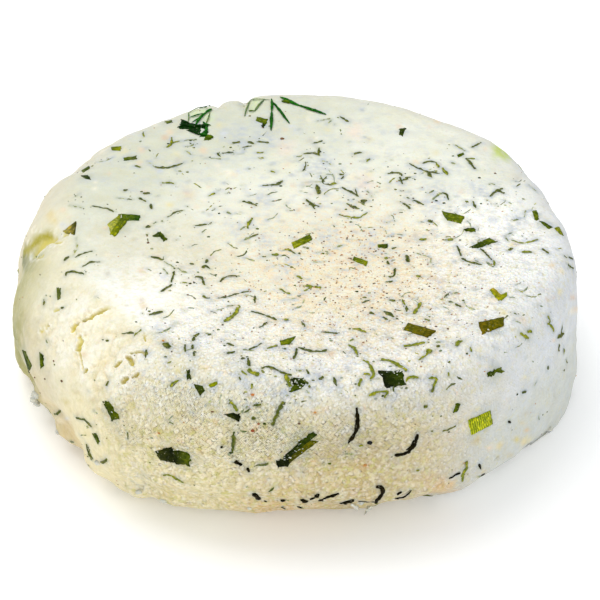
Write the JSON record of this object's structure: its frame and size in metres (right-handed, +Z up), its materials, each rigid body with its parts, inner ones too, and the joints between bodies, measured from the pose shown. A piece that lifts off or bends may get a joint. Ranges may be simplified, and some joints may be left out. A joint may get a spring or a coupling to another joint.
{
  "type": "herbed basket cheese",
  "caption": "Low round of fresh basket-pressed curd cheese with rounded shoulders, chopped green onion and dill in its skin, and dill sprigs on the rim.",
  "frame": {"origin": "middle of the flat underside, on the axis of the basket that pressed the round", "axes": "+Z up out of the flat top, -Y towards the front, +X towards the side with the tighter shoulder"},
  "size_m": [0.1468, 0.1552, 0.0473],
  "materials": {
    "curd": "soft moist fresh curd, cream white",
    "dill": "fresh dark green herb"
  },
  "bodies": {
    "root": {"cheese": "curd", "dill_sprig_left": "dill", "dill_sprig_right": "dill"}
  },
  "joints": []
}
